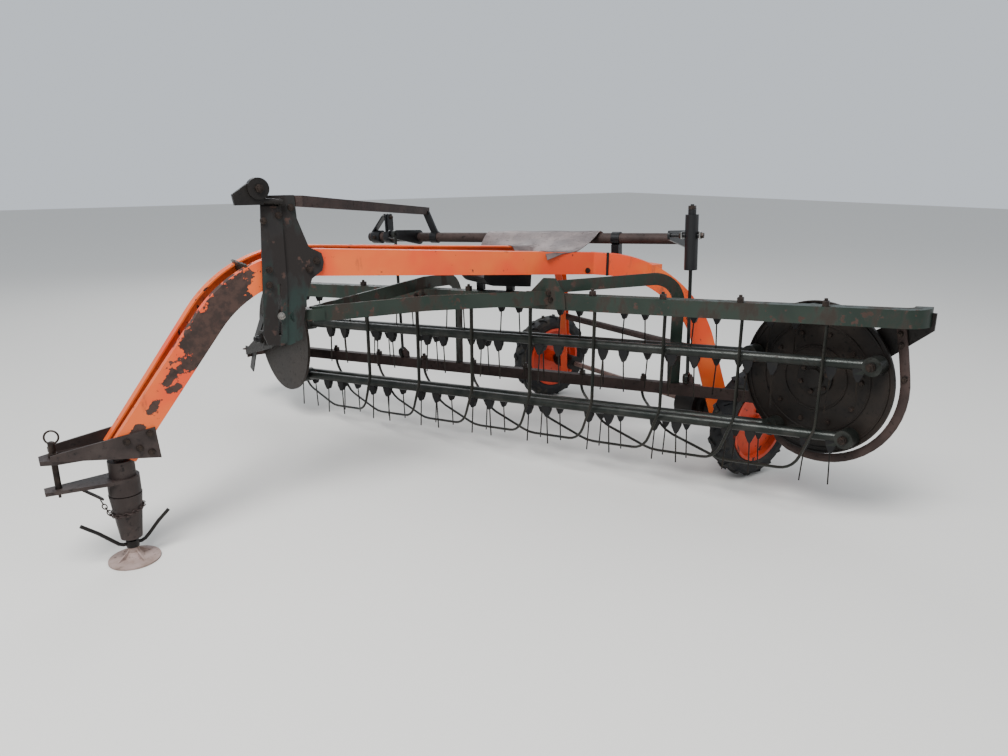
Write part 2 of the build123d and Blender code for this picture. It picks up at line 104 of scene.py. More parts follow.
def from_head(across, up, off=0):
    """The way from a head's centre to a place in its plane; off is how far the place is along the spin."""
    return (SPIN * off + SPIN_ACROSS * across + Z * up) * MM


# The left beam's web, seen from outside: x and z on it, off is how far a place stands out from it. The
# right beam mirrors it. The legs join the beams at the seam.
WEB_Y = 255.7
WEB_SLOPE = 0.0617
SEAM_X = 560
OUT = Vector((math.sin(math.atan(WEB_SLOPE)), math.cos(math.atan(WEB_SLOPE)), 0))
OUT_RIGHT = Vector((OUT.x, -OUT.y, 0))


def web(x, z, off):
    return spot(x, WEB_Y - WEB_SLOPE * x, z) + OUT * off * MM


def web_right(x, z, off):
    return spot(x, WEB_SLOPE * x - WEB_Y, z) + OUT_RIGHT * off * MM


def linear(text):
    """An sRGB hex colour as the linear RGBA that Blender's sockets take."""
    parts = [int(text[i:i + 2], 16) / 255 for i in (1, 3, 5)]
    return tuple(c / 12.92 if c <= 0.04045 else ((c + 0.055) / 1.055) ** 2.4 for c in parts) + (1.0,)


class RakeSizes(bpy.types.PropertyGroup):
    bolt_across: FloatProperty(name="Bolt head", description="Width across a common bolt head's flats",
                               default=0.024, unit="LENGTH")
    bolt_height: FloatProperty(name="Bolt height", description="Height of a common bolt head",
                               default=0.010, unit="LENGTH")
    pin_radius: FloatProperty(name="Hitch pin", description="Radius of the pin in the hitch",
                              default=0.012, unit="LENGTH")
    link_wire: FloatProperty(name="Chain wire", description="Radius of the keeper chain's wire",
                             default=0.0022, unit="LENGTH")
    wheel_nuts: IntProperty(name="Wheel nuts", description="Nuts that hold each rim to its hub", default=5)


class RakeColours(bpy.types.PropertyGroup):
    orange: FloatVectorProperty(name="Frame paint", description="Faded orange of the frame",
                                size=4, subtype="COLOR", default=linear("#CB4420"))
    green: FloatVectorProperty(name="Basket paint", description="Dark green of the basket's beams",
                               size=4, subtype="COLOR", default=linear("#18231C"))
    rust: FloatVectorProperty(name="Rust", description="Brown rust under every paint",
                              size=4, subtype="COLOR", default=linear("#2B201C"))
    rim: FloatVectorProperty(name="Rim paint", description="Red orange of the rims",
                             size=4, subtype="COLOR", default=linear("#BE3A20"))
    rubber: FloatVectorProperty(name="Tyres", description="Weathered tyre rubber",
                                size=4, subtype="COLOR", default=linear("#141517"))
    floor: FloatVectorProperty(name="Floor", description="Plain pale floor",
                               size=4, subtype="COLOR", default=linear("#CFCDC8"))


# Nodes of a material.
def node(tree, kind, settings=None, links=None):
    """Adds a node with its settings, on sockets or on itself, and its incoming links."""
    made = tree.nodes.new(kind)
    for key, value in (settings or {}).items():
        if isinstance(key, int) or key in made.inputs:
            made.inputs[key].default_value = value
        else:
            setattr(made, key, value)
    for key, socket in (links or {}).items():
        tree.links.new(socket, made.inputs[key])
    return made


def new_material(name):
    """A material with an empty Principled shader, and the object coordinates that its patterns read."""
    made = bpy.data.materials.new(name)
    made.use_nodes = True
    tree = made.node_tree
    tree.nodes.clear()
    shader = node(tree, "ShaderNodeBsdfPrincipled")
    node(tree, "ShaderNodeOutputMaterial", links={"Surface": shader.outputs[0]})
    where = node(tree, "ShaderNodeTexCoord").outputs["Object"]
    return made, tree, shader, where


def patches(tree, where, size, low, high, detail=6.0, stretch=(1, 1, 1), shift=(0, 0, 0)):
    """A mask of patches about size millimetres across, 0 below low and 1 above high."""
    turned = node(tree, "ShaderNodeMapping", {"Scale": stretch, "Location": shift}, {"Vector": where})
    noise = node(tree, "ShaderNodeTexNoise", {"Scale": 1000.0 / size, "Detail": detail, "Roughness": 0.62},
                 {"Vector": turned.outputs[0]})
    ramp = node(tree, "ShaderNodeMapRange",
                {"From Min": low, "From Max": high, "interpolation_type": "SMOOTHSTEP"},
                {"Value": noise.outputs["Fac"]})
    return ramp.outputs[0]


def blend_colours(tree, mask, first, second):
    """first where the mask is 0 and second where it is 1; each is a colour or a socket."""
    mix = node(tree, "ShaderNodeMix", {"data_type": "RGBA"}, {0: mask})
    for index, colour in ((6, first), (7, second)):
        if isinstance(colour, bpy.types.NodeSocket):
            tree.links.new(colour, mix.inputs[index])
        else:
            mix.inputs[index].default_value = colour
    return mix.outputs[2]


def between(tree, mask, low, high):
    """A number from low to high as the mask goes from 0 to 1."""
    return node(tree, "ShaderNodeMapRange", {"To Min": low, "To Max": high}, {"Value": mask}).outputs[0]


def dress(tree, shader, colour, roughness, height, depth_mm, specular=0.3):
    """Links a material's colour, roughness and bumps, depth_mm deep, and sets its gloss."""
    bumps = node(tree, "ShaderNodeBump", {"Strength": 0.8, "Distance": depth_mm * MM}, {"Height": height})
    for key, socket in (("Base Color", colour), ("Roughness", roughness), ("Normal", bumps.outputs[0])):
        tree.links.new(socket, shader.inputs[key])
    shader.inputs["Specular IOR Level"].default_value = specular


def bare_spot(tree, where, centre, tilt, length, width):
    """A long ragged spot of lost paint: 1 near a point and 0 away from it, tilt degrees off level."""
    local = node(tree, "ShaderNodeMapping", {"vector_type": "TEXTURE", "Location": centre,
                                             "Rotation": (0, math.radians(tilt), 0),
                                             "Scale": (length * MM, 0.2, width * MM)}, {"Vector": where})
    away = node(tree, "ShaderNodeVectorMath", {"operation": "LENGTH"}, {0: local.outputs[0]})
    ragged = patches(tree, where, 55, 0.25, 0.75, 12.0, (1, 1, 1), (1, 8, 2))
    reach = node(tree, "ShaderNodeMath", {"operation": "SUBTRACT"}, {0: away.outputs["Value"], 1: ragged})
    near = node(tree, "ShaderNodeMapRange", {"From Min": 0.40, "From Max": 0.34}, {"Value": reach.outputs[0]})
    return near.outputs[0]


def highest(tree, first, second):
    return node(tree, "ShaderNodeMath", {"operation": "MAXIMUM"}, {0: first, 1: second}).outputs[0]


def chipped_enamel(name, paint, fade, grime, rust, chip_from, grime_from=0.56, gloss=0.42, spots=()):
    """Old brushed enamel on steel: faded in broad clouds, grimy in streaks, chipped to brown rust."""
    made, tree, shader, where = new_material(name)
    clouds = patches(tree, where, 420, 0.40, 0.62, 3.0)
    streaks = patches(tree, where, 90, grime_from, grime_from + 0.14, 7.0, (1, 1, 0.45), (3, 1, 2))
    worn = patches(tree, where, 60, chip_from, chip_from + 0.02, 12.0, (1, 1, 1), (7, 5, 3))
    for centre, tilt, length, width in spots:
        worn = highest(tree, worn, bare_spot(tree, where, centre, tilt, length, width))
    grain = patches(tree, where, 3, 0.30, 0.70, 3.0)
    colour = blend_colours(tree, clouds, paint, linear(fade))
    colour = blend_colours(tree, streaks, colour, linear(grime))
    tones = blend_colours(tree, patches(tree, where, 60, 0.42, 0.6), rust, linear("#3D2C26"))
    colour = blend_colours(tree, worn, colour, tones)
    roughness = between(tree, highest(tree, worn, streaks), gloss, 0.78)
    lifted = between(tree, grain, 0.0, 0.25)
    height = node(tree, "ShaderNodeMath", {"operation": "SUBTRACT"}, {0: lifted, 1: worn})
    dress(tree, shader, colour, roughness, height.outputs[0], 0.35)
    return made


def rusted_steel(name, dark, light, pits, rough=0.72, metallic=0.25, spread=160):
    """Bare steel under an even rust: two tones in patches spread mm across, fine pits, hardly any gloss."""
    made, tree, shader, where = new_material(name)
    broad = patches(tree, where, spread, 0.34, 0.66, 6.0)
    fine = patches(tree, where, 22, 0.56, 0.70, 6.0, shift=(2, 4, 6))
    grain = patches(tree, where, 4, 0.30, 0.70, 3.0)
    colour = blend_colours(tree, broad, linear(dark), linear(light))
    colour = blend_colours(tree, fine, colour, linear(pits))
    height = node(tree, "ShaderNodeMath", {"operation": "SUBTRACT"}, {0: grain, 1: fine})
    dress(tree, shader, colour, between(tree, fine, rough - 0.10, rough + 0.08), height.outputs[0], 0.3)
    shader.inputs["Metallic"].default_value = metallic
    return made


def tread_rubber(name, rubber, dusty):
    """Vulcanised rubber gone grey: matt, with dry dust in patches and a fine moulded grain."""
    made, tree, shader, where = new_material(name)
    dust = patches(tree, where, 60, 0.46, 0.66, 6.0)
    grain = patches(tree, where, 3, 0.30, 0.70, 3.0)
    colour = blend_colours(tree, dust, rubber, linear(dusty))
    dress(tree, shader, colour, between(tree, dust, 0.62, 0.9), grain, 0.3, 0.25)
    return made


def plain_floor(name, colour):
    """Smooth matt studio floor."""
    made, _, shader, _ = new_material(name)
    shader.inputs["Base Color"].default_value = colour
    shader.inputs["Roughness"].default_value = 0.9
    return made


# Steels: their name, two tones, the pits' colour, then roughness, metallic and patch size in mm.
STEELS = {
    # stay, guard, shaft: rust with a little of the old paint's brown
    "rusty_steel": ("brown rusted steel", "#2B211E", "#3D302C", "#1E1816"),
    # jack column, strap and side plates: brown black, oily
    "hitch_steel": ("oily brown steel", "#2A2220", "#3B322F", "#1E1918", 0.6),
    # strippers: dark green brown, rubbed by hay
    "stripper_steel": ("dark sprung steel", "#171A16", "#26241F", "#14110F", 0.5, 0.3),
    # castings: oily and nearly black
    "dark_steel": ("oily cast iron", "#131110", "#1D1916", "#0E0C0B", 0.55, 0.3),
    # head discs: pressed sheet, black with broad brown patches where hay rubs it
    "head_sheet": ("dark pressed sheet", "#0F0E0D", "#261F1A", "#0C0A09", 0.6, 0.3, 420),
    # tooth bars: old green paint rubbed to grey steel by hay
    "bar_steel": ("hay-polished bar steel", "#1B1F1C", "#2E2F2C", "#1C1815", 0.40, 0.5, 120),
    # tines: spring wire, nearly black
    "tine_wire": ("rusted spring wire", "#171412", "#262019", "#100E0C", 0.5, 0.5, 60),
    # cover: galvanised sheet that has lost its shine, with brown patches
    "grey_sheet": ("weathered grey sheet", "#4E4342", "#6E615E", "#3B302C", 0.5, 0.4, 120),
    # axle shaft: steel with a pinkish skin of dry rust
    "pink_steel": ("dry rusted shaft steel", "#63504A", "#7A645C", "#40332E", 0.6, 0.3),
    # foot: steel with a pale skin of dried mud
    "foot_steel": ("mud-dried steel", "#7C6A61", "#92807A", "#5E4F48", 0.85, 0.1, 60),
    # yoke: zinc plate
    "zinc": ("dull zinc plate", "#8A8A88", "#A4A39F", "#66605A", 0.36, 0.8, 70),
    # bolt heads: black oxide gone brown
    "bolts": ("rusted bolt steel", "#1F1916", "#332923", "#14110F", 0.5, 0.5, 25),
    # the bolt in the post's slot: lighter grey than the other bolts, a painted highlight for the light it
    # catches
    "highlit_bolts": ("highlit bolt steel", "#6E6A66", "#8A8782", "#4A4541", 0.4, 0.6, 25),
}
# Where the left beam has lost its paint: x, y, z, degrees off level, length and width in mm.
BARE_SPOTS = ((2530, 109, 1000, 54, 300, 96), (2722, 98, 800, 54, 42, 22), (2800, 95, 690, 54, 46, 26),
              (2875, 92, 590, 54, 50, 26), (2436, 115, 1150, 40, 90, 60))


def build_materials(colours):
    rust = tuple(colours.rust)
    bare = [(spot(*row[:3]),) + row[3:] for row in BARE_SPOTS]
    made = {key: rusted_steel(*row) for key, row in STEELS.items()}
    made.update({
        # frame: sun-faded orange with a bare dark stretch where the left beam comes down, and dark chips
        "frame_paint": chipped_enamel("faded orange enamel", tuple(colours.orange), "#CC5C28", "#8A4128",
                                      rust, 0.65, 0.60, spots=bare),
        # rims: the same enamel, redder because it was shaded
        "rim_paint": chipped_enamel("red orange rim enamel", tuple(colours.rim), "#A83A20", "#4A241A", rust,
                                    0.62),
        # basket: dark green enamel, brown in streaks with dried oil and hay dust
        "green_paint": chipped_enamel("dark green enamel", tuple(colours.green), "#222B24", "#28221C",
                                      linear("#33261F"), 0.60, 0.48, 0.40),
        # post: so much grime that only teal clouds of the paint show
        "post_paint": chipped_enamel("grimy green enamel", linear("#1B1817"), "#1A2A26", "#191412",
                                     linear("#231A17"), 0.60, 0.44, 0.42),
        # levers and spring can: satin black over steel
        "black_paint": chipped_enamel("satin black enamel", linear("#0E0E0F"), "#151516", "#1B1816", rust,
                                      0.66, 0.60, 0.36),
        # tooth mounts: moulded black rubber
        "mount_rubber": tread_rubber("tooth mount rubber", linear("#0C0C0D"), "#1B1A18"),
        # tyres: rubber gone grey, dusty
        "tyre_rubber": tread_rubber("tyre rubber", tuple(colours.rubber), "#33312D"),
    })
    return made


FINISHES = {
    "frame_paint": ["left_frame_beam", "right_frame_beam", "left_axle_leg", "right_axle_leg",
                    "rear_cross_member"],
    "green_paint": ["front_top_beam", "left_arm", "right_arm", "rear_arch", "frame_cross_plate",
                    "pivot_bracket", "gusset_plate"],
    "post_paint": ["post_plate"],
    "rusty_steel": ["rear_bottom_beam", "end_guard", "stay_bar", "rod_brackets", "axle_cross_tube",
                    "rockshaft_tube"],
    "hitch_steel": ["hitch_lower_strap", "jack_column", "hitch_side_plates", "hitch_tongue"],
    "stripper_steel": ["strippers"],
    "dark_steel": ["rear_bearing_bracket", "front_bearing_bracket", "gear_case", "left_spindle",
                   "right_spindle", "post_eye", "jack_crank"],
    "head_sheet": ["rear_head_disc", "front_head_disc"],
    "black_paint": ["rear_lift_lever", "front_lift_lever", "rear_spring_can", "rockshaft_bearings"],
    "bar_steel": ["tooth_bar_%d" % number for number in BARS] + ["rear_lift_rod", "front_lift_rod",
                                                                 "jack_screw"],
    "grey_sheet": ["shield"],
    "pink_steel": ["axle_shaft"],
    "rim_paint": ["left_rim", "right_rim"],
    "tyre_rubber": ["left_tyre", "right_tyre"],
    "foot_steel": ["jack_foot"],
}
finishes = {}


# Modelling helpers.
def alone(obj):
    bpy.ops.object.select_all(action="DESELECT")
    obj.select_set(True)
    bpy.context.view_layer.objects.active = obj


def apply_place(obj):
    alone(obj)
    bpy.ops.object.transform_apply(location=True, rotation=True, scale=True)


def settle(obj, point, axis=Z, turn=0.0):
    """Sets a piece modelled along +Z on a point and along an axis, and applies both to its mesh."""
    obj.rotation_mode = "QUATERNION"
    obj.rotation_quaternion = axis.to_track_quat("Z", "Y") @ Quaternion((0, 0, 1), turn)
    obj.location = point
    apply_place(obj)


def twin_of(model):
    """A copy of a model with its own mesh."""
    twin = model.copy()
    twin.data = model.data.copy()
    bpy.context.collection.objects.link(twin)
    return twin


def pick_edges(obj, test):
    """In edit mode, selects only the edges whose middle passes the test."""
    bpy.ops.mesh.select_mode(type="EDGE")
    bpy.ops.mesh.select_all(action="DESELECT")
    for edge in bmesh.from_edit_mesh(obj.data).edges:
        edge.select_set(test((edge.verts[0].co + edge.verts[1].co) / 2))
    bmesh.update_edit_mesh(obj.data)


def join(objs):
    bpy.ops.object.select_all(action="DESELECT")
    for obj in objs:
        obj.select_set(True)
    bpy.context.view_layer.objects.active = objs[0]
    if len(objs) > 1:
        bpy.ops.object.join()
    return bpy.context.active_object


def finish_piece(obj, name, finish, body, smooth=35):
    """Names a piece, turns its faces outward, smooths it, gives it its finish and its body."""
    obj.name = name
    alone(obj)
    bpy.ops.object.mode_set(mode="EDIT")
    bpy.ops.mesh.select_all(action="SELECT")
    bpy.ops.mesh.normals_make_consistent(inside=False)
    bpy.ops.object.mode_set(mode="OBJECT")
    bpy.ops.object.shade_smooth_by_angle(angle=math.radians(smooth))
    obj.data.materials.clear()
    obj.data.materials.append(finishes[finish])
    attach(obj, body)
    return obj


def copies(model, places):
    """A copy of a model at each place, which is a point, an axis and a turn about it; the model goes."""
    made = []
    for point, axis, turn in places:
        twin = twin_of(model)
        settle(twin, point, axis, turn)
        made.append(twin)
    bpy.data.objects.remove(model)
    return made


def fasten(name, body, model, places, finish="bolts"):
    """Sets a bolt or nut at every place, all as one piece."""
    return finish_piece(join(copies(model, places)), name, finish, body)


def round_bar(radius, length, sides=20, start=0.0, bevel=0.0):
    """Round bar up the Z axis from start, its far rim bevelled."""
    bpy.ops.object.select_all(action="DESELECT")
    bpy.ops.mesh.primitive_cylinder_add(vertices=sides, radius=radius, depth=length,
                                        location=(0, 0, start + length / 2))
    obj = bpy.context.active_object
    apply_place(obj)
    if bevel:
        bpy.ops.object.mode_set(mode="EDIT")
        pick_edges(obj, lambda middle: middle.z > start + length - 1e-5)
        bpy.ops.mesh.bevel(offset=bevel, segments=2)
        bpy.ops.object.mode_set(mode="OBJECT")
    return obj


def bolt(across, height, sides=6, shank=0.0):
    """Bolt head on a washer, its corners taken off, and a thread end where a nut shows one."""
    washer = round_bar(across * 0.62, across * 0.09, 16, 0.0, across * 0.02)
    head = round_bar(across / 2 / math.cos(math.pi / sides), height, sides, across * 0.09, height * 0.16)
    objs = [washer, head]
    if shank:
        objs.append(round_bar(across * 0.29, shank, 10, across * 0.09 + height, across * 0.05))
    return join(objs)


def flat_section(half_side, half_up):
    return [(-half_side, -half_up), (half_side, -half_up), (half_side, half_up), (-half_side, half_up)]


def octagon(radius, turn):
    """A round bar's section; turn is in eighths of a circle."""
    return [(math.cos(math.pi * (i + turn) / 4) * radius, math.sin(math.pi * (i + turn) / 4) * radius)
            for i in range(8)]


def run_section(section, stations):
    """A closed section extruded through stations, each of them its middle and its side and up directions."""
    bpy.ops.object.select_all(action="DESELECT")
    bpy.ops.mesh.primitive_circle_add(vertices=len(section), fill_type="NGON", location=(0, 0, 0))
    obj = bpy.context.active_object
    bpy.ops.object.mode_set(mode="EDIT")
    bpy.ops.mesh.select_mode(type="FACE")
    bpy.ops.mesh.select_all(action="SELECT")
    for index, (point, side, up) in enumerate(stations):
        if index:
            bpy.ops.mesh.extrude_region_move()
        mesh = bmesh.from_edit_mesh(obj.data)
        face = next(f for f in mesh.faces if f.select)
        for vert, (a, b) in zip(face.verts, section):
            vert.co = point + side * a + up * b
        bmesh.update_edit_mesh(obj.data)
    bpy.ops.object.mode_set(mode="OBJECT")
    return obj


def bolt_circle(centre, way, up, across, count, reach, start=0.0):
    """Places round a centre for bolts that point along way; start is the first one's angle."""
    places = []
    for i in range(count):
        angle = 2 * math.pi * i / count + start
        places.append((centre + (up * math.cos(angle) + across * math.sin(angle)) * reach, way, angle))
    return places


def ring(major, minor, segments=28, sides=8):
    bpy.ops.object.select_all(action="DESELECT")
    bpy.ops.mesh.primitive_torus_add(major_segments=segments, minor_segments=sides, major_radius=major,
                                     minor_radius=minor, location=(0, 0, 0))
    return bpy.context.active_object


class RAKE_OT_finishes(bpy.types.Operator):
    """Makes the finishes and gives every carried-over CAD piece its own"""
    bl_idname = "rake.finishes"
    bl_label = "Finishes"

    def execute(self, context):
        finishes.update(build_materials(context.scene.rake_colours))
        for finish, names in FINISHES.items():
            for name in names:
                mesh = frame["nodes"][name].data
                mesh.materials.clear()
                mesh.materials.append(finishes[finish])
        for number, pivot in zip(BARS, PIVOTS):
            self.part_bar(frame["nodes"]["tooth_bar_%d" % number], pivot)
        return {"FINISHED"}

    def part_bar(self, bar, pivot):
        """A tooth bar's faces: steel on the tube and the eyes, rubber on the mounts, wire on the tines."""
        mesh = bar.data
        mesh.materials.append(finishes["mount_rubber"])
        mesh.materials.append(finishes["tine_wire"])
        for face in mesh.polygons:
            away = face.center - pivot
            run = away.dot(ALONG)
            from_tube = (away - ALONG * run).length / MM
            if from_tube > 25 and 60 < run / MM < REEL - 60:
                face.material_index = 2 if from_tube > 78 else 1


class RAKE_OT_bolts(bpy.types.Operator):
    """Models a bolt once and sets its copies on the frame, the post, the hitch and the basket"""
    bl_idname = "rake.bolts"
    bl_label = "Bolts"

    def execute(self, context):
        sizes = context.scene.rake_sizes
        across, height = sizes.bolt_across, sizes.bolt_height
        post_face, edge_face, side_face = 22, 12, 10
        post = [web(x, z, post_face) for x, z in ((2292, 1216), (2297, 1152), (2300, 1420), (2236, 1440))]
        post += [web(x, z, edge_face) for x, z in ((2085, 1240), (2120, 1205), (2180, 1470))]
        places = [(p, OUT, 0.3 * i) for i, p in enumerate(post)]
        hitch = [(2916, 559), (2872, 524), (2828, 581), (2830, 500)]
        places += [(web(x, z, side_face), OUT, 0.4 + x) for x, z in hitch]
        places += [(web_right(x, z, side_face), OUT_RIGHT, 0.1 + x) for x, z in hitch]
        places += [(web(600, 1092, 0), OUT, 0.7)]
        fasten("frame_bolts", "frame", bolt(across, height, 6, 0.004), places)

        gusset = [(1331, 338), (1230, 345), (1319, 374), (1240, 377)]
        places = [(basket(w, 178, z), AHEAD, w) for w, z in gusset]
        places += [(basket(w, 172, 330), AHEAD, w) for w in (2010, 2060)]
        places += [(basket(w, -196, -175), -AHEAD, w) for w in (690, 720, 2030)]
        fasten("basket_bolts", "basket", bolt(across * 0.9, height, 6, 0.006), places)

        # The slot bolt's lighter grey is a painted highlight.
        slot = [(web(2258, 1015, post_face), OUT, 0.2)]
        fasten("slot_bolt", "frame", bolt(across * 1.1, height * 1.3, 6, 0.008), slot, "highlit_bolts")
        eye = spot(2319, 0, 1551)
        eye.y = web(2319, 0, 62).y
        pin = copies(bolt(across * 1.35, height * 1.2, 6, 0.006), [(eye - OUT * 0.004, OUT, 0.3)])
        stem = round_bar(0.0145, 0.052, 24)
        settle(stem, eye - OUT * 0.054, OUT)
        finish_piece(join(pin + [stem]), "eye_pin", "bolts", "frame")
        return {"FINISHED"}


class RAKE_OT_hitch_pin(bpy.types.Operator):
    """Models the pin that stands in the hitch, with the ring through its head"""
    bl_idname = "rake.hitch_pin"
    bl_label = "Hitch pin"

    def execute(self, context):
        radius = context.scene.rake_sizes.pin_radius
        shank = round_bar(radius, 0.175, 24, 0.0, 0.003)
        head = round_bar(radius * 1.5, 0.016, 24, 0.1595, 0.004)
        neck = round_bar(radius * 1.1, 0.052, 20, 0.170, 0.006)
        tip = round_bar(radius * 0.45, 0.02, 12, -0.018)
        pin = join([shank, head, neck, tip])
        settle(pin, spot(3175, 0, 368))
        loop = ring(0.026, 0.004)
        settle(loop, spot(3171, 0, 607), Vector((0.35, 1, 0.15)).normalized())
        finish_piece(join([pin, loop]), "hitch_pin", "bolts", "frame")
        return {"FINISHED"}


class RAKE_OT_keeper_chain(bpy.types.Operator):
    """Models the chain round the jack's column and the keeper plate that hangs from it"""
    bl_idname = "rake.keeper_chain"
    bl_label = "Keeper chain"

    def execute(self, context):
        wire = context.scene.rake_sizes.link_wire
        model = ring(0.0085, wire, 14, 6)
        bpy.ops.transform.resize(value=(1.45, 1, 1))
        apply_place(model)
        column, height, pitch, reach = spot(2940, 0, 0), 0.236, 0.0165, 0.0628
        count = int(2 * math.pi * reach / pitch)
        links = []
        for i in range(count):
            angle = 2 * math.pi * i / count
            point = column + Vector((math.cos(angle) * reach, math.sin(angle) * reach,
                                     height - 0.012 * math.cos(angle)))
            way = Vector((-math.sin(angle), math.cos(angle), 0))
            links.append(self.link(model, point, way, i % 2 * math.pi / 2))
        start = column + Vector((reach, 0, height - 0.012))
        end = spot(3035, 0, 304)
        steps = 4
        for i in range(1, steps + 1):
            point = start.lerp(end, i / (steps + 0.5))
            point.z -= 0.010 * math.sin(math.pi * i / (steps + 1))
            links.append(self.link(model, point, (end - start).normalized(), i % 2 * math.pi / 2))
        bpy.data.objects.remove(model)
        chain = join(links)
        finish_piece(join([chain, self.plate()]), "keeper_chain", "rusty_steel", "frame")
        return {"FINISHED"}

    def link(self, model, point, way, roll):
        """A link with its length along way, rolled about it."""
        twin = twin_of(model)
        side = way.cross(Z).normalized()
        up = side.cross(way)
        turned = Matrix((way, side, up)).transposed() @ Matrix.Rotation(roll, 3, "X")
        twin.matrix_world = Matrix.Translation(point) @ turned.to_4x4()
        apply_place(twin)
        return twin

    def plate(self):
        """Flat keeper with rounded ends, hung aslant from the strap down to the chain."""
        low, high = spot(3030, 0, 306), spot(3098, 0, 366)
        way = (high - low).normalized()
        lift = Vector((-way.z, 0, way.x))
        shape = ((-0.1, 0.35), (-0.04, 0.8), (0.08, 1.0), (0.92, 1.0), (1.04, 0.8), (1.1, 0.35))
        return run_section(flat_section(0.017, 0.0025),
                           [(low.lerp(high, share), Y * width, lift) for share, width in shape])


class RAKE_OT_spring_yoke(bpy.types.Operator):
    """Models the plated yoke that holds the lift's spring can at the rear lever, and the can's nuts"""
    bl_idname = "rake.spring_yoke"
    bl_label = "Spring yoke"

    def execute(self, context):
        pin = joint("rear_rod_swing")[0]
        inner, thick, tall, back, front = 0.043, 0.006, 0.036, 0.012, 0.026
        middle = inner + thick / 2
        bend = [(pin + ALONG * middle + AHEAD * front, ALONG)]
        for i in range(9):
            angle = math.pi * i / 8
            way = ALONG * math.cos(angle) - AHEAD * math.sin(angle)
            bend.append((pin - AHEAD * back + way * middle, way))
        bend.append((pin - ALONG * middle + AHEAD * front, -ALONG))
        yoke = run_section(flat_section(thick / 2, tall / 2), [(point, side, RISE) for point, side in bend])
        soft = yoke.modifiers.new("Soft edges", "BEVEL")
        soft.width = 0.0015
        soft.limit_method = "ANGLE"
        alone(yoke)
        bpy.ops.object.modifier_apply(modifier="Soft edges")
        finish_piece(yoke, "spring_yoke", "zinc", "rockshaft")
        ends = [(pin + ALONG * 0.0495, ALONG, 0.2), (pin - ALONG * 0.0495, -ALONG, 0.5)]
        fasten("yoke_nuts", "rockshaft", bolt(0.026, 0.010), ends)
        can_top = pin + RISE * 0.129
        fasten("can_nut", "rear_rod", bolt(0.034, 0.014), [(can_top, RISE, 0.4)])
        return {"FINISHED"}


class RAKE_OT_wheel_fittings(bpy.types.Operator):
    """Models the nuts, hub cap and valve of a wheel, and sets them on both rims"""
    bl_idname = "rake.wheel_fittings"
    bl_label = "Wheel fittings"

    def execute(self, context):
        count = context.scene.rake_sizes.wheel_nuts
        for side, body in ((1, "left_wheel"), (-1, "right_wheel")):
            hub = spot(AXLE_X, side * WHEEL_Y, AXLE_Z)
            out = Y * side
            places = bolt_circle(hub + out * 0.032, out, X, Z, count, 0.068, 0.3)
            fasten(body + "_nuts", body, bolt(0.021, 0.014, 6, 0.006), places)
            cap = join([round_bar(0.037, 0.012, 28, 0.0, 0.004), round_bar(0.024, 0.010, 28, 0.010, 0.005)])
            settle(cap, hub + out * 0.0725, out)
            finish_piece(cap, body + "_hub_cap", "dark_steel", body)
            foot = (X * math.cos(2.2) + Z * math.sin(2.2)) * 0.176
            valve = join([round_bar(0.0045, 0.03, 12, 0.0, 0.001), round_bar(0.0065, 0.010, 12, 0.0, 0.002)])
            settle(valve, hub + out * 0.014 + foot, (out - foot.normalized() * 0.4).normalized())
            finish_piece(valve, body + "_valve", "mount_rubber", body)
        return {"FINISHED"}


class RAKE_OT_head_castings(bpy.types.Operator):
    """Models a reel head's hub casting with its bolts, and the nut on each bar's pin"""
    bl_idname = "rake.head_castings"
    bl_label = "Head castings"

    def execute(self, context):
        disc_face = 0.046
        for centre, side, body in ((REAR, 1, "rear_head"), (FRONT, -1, "front_head")):
            way = SPIN * side
            root = centre - way * disc_face
            boss = join([round_bar(0.085, 0.012, 32, 0.0, 0.004), round_bar(0.046, 0.022, 28, 0.010, 0.006)])
            settle(boss, root, way)
            finish_piece(boss, body + "_boss", "dark_steel", body)
            up = (PIVOTS[0] - REAR).normalized()
            across = way.cross(up)
            places = bolt_circle(root + way * 0.012, way, up, across, 6, 0.066)
            places += bolt_circle(root, way, up, across, 10, 0.215, math.pi / 10)
            fasten(body + "_bolts", body, bolt(0.020, 0.008), places)
            beads = []
            for radius in (0.335, 0.255, 0.150):
                bead = ring(radius, 0.0045, 72, 6)
                settle(bead, root + way * 0.0015, way)
                beads.append(bead)
            finish_piece(join(beads), body + "_beads", "head_sheet", body)
            pins = [(root + pivot - REAR + way * 0.0945, way, 0.2) for pivot in PIVOTS]
            fasten(body + "_pin_nuts", body, bolt(0.032, 0.012, 6, 0.006), pins)
        return {"FINISHED"}


def beam_height(x):
    """The frame beams' top at x, both in metres: level behind the seam and rising ahead of it."""
    return 1.1831 + 0.0689 * (max(x, SEAM_X * MM) - 0.535)


class RAKE_OT_painted_shade_trough(bpy.types.Operator):
    """Models the black trough of folded sheet that stands on the front beam, between the frame beams. Its
    black is painted shade, set where only the cover's shaded underside lies.
    """
    bl_idname = "rake.under_plate"
    bl_label = "Painted shade trough"

    def execute(self, context):
        thick, half, slant, rim, beam_top = 0.003, 0.122, 0.008, 1.125, 368.5
        floors = [(1200, 1088), (1182, 1068), (1166, 1053), (1146, 1046), (930, 1023), (904, 1021)]
        trough = run_section([(0, 0)] * 8, [(spot(0, 0, 0), Y, Z)] * len(floors))
        for index, vert in enumerate(trough.data.vertices):
            x, floor = floors[index // 8]
            low = floor * MM
            inside = [(half, rim), (half - slant, low), (slant - half, low), (-half, rim)]
            outside = [(-half - thick, rim), (slant - half - thick, low - thick),
                       (half - slant + thick, low - thick), (half + thick, rim)]
            y, z = (inside + outside)[index % 8]
            vert.co = ORIGIN + Vector((x * MM, y, z))
        stands = [run_section(flat_section(0.020, 0.014),
                              [(basket(w, 100, z), ALONG, AHEAD) for z in (beam_top, top)])
                  for w, top in ((1500, 397), (1680, 412))]
        # The trough's black is painted shade: a dark sheet where the cover's underside lies in shadow.
        finish_piece(join([trough] + stands), "under_plate", "black_paint", "basket")
        return {"FINISHED"}


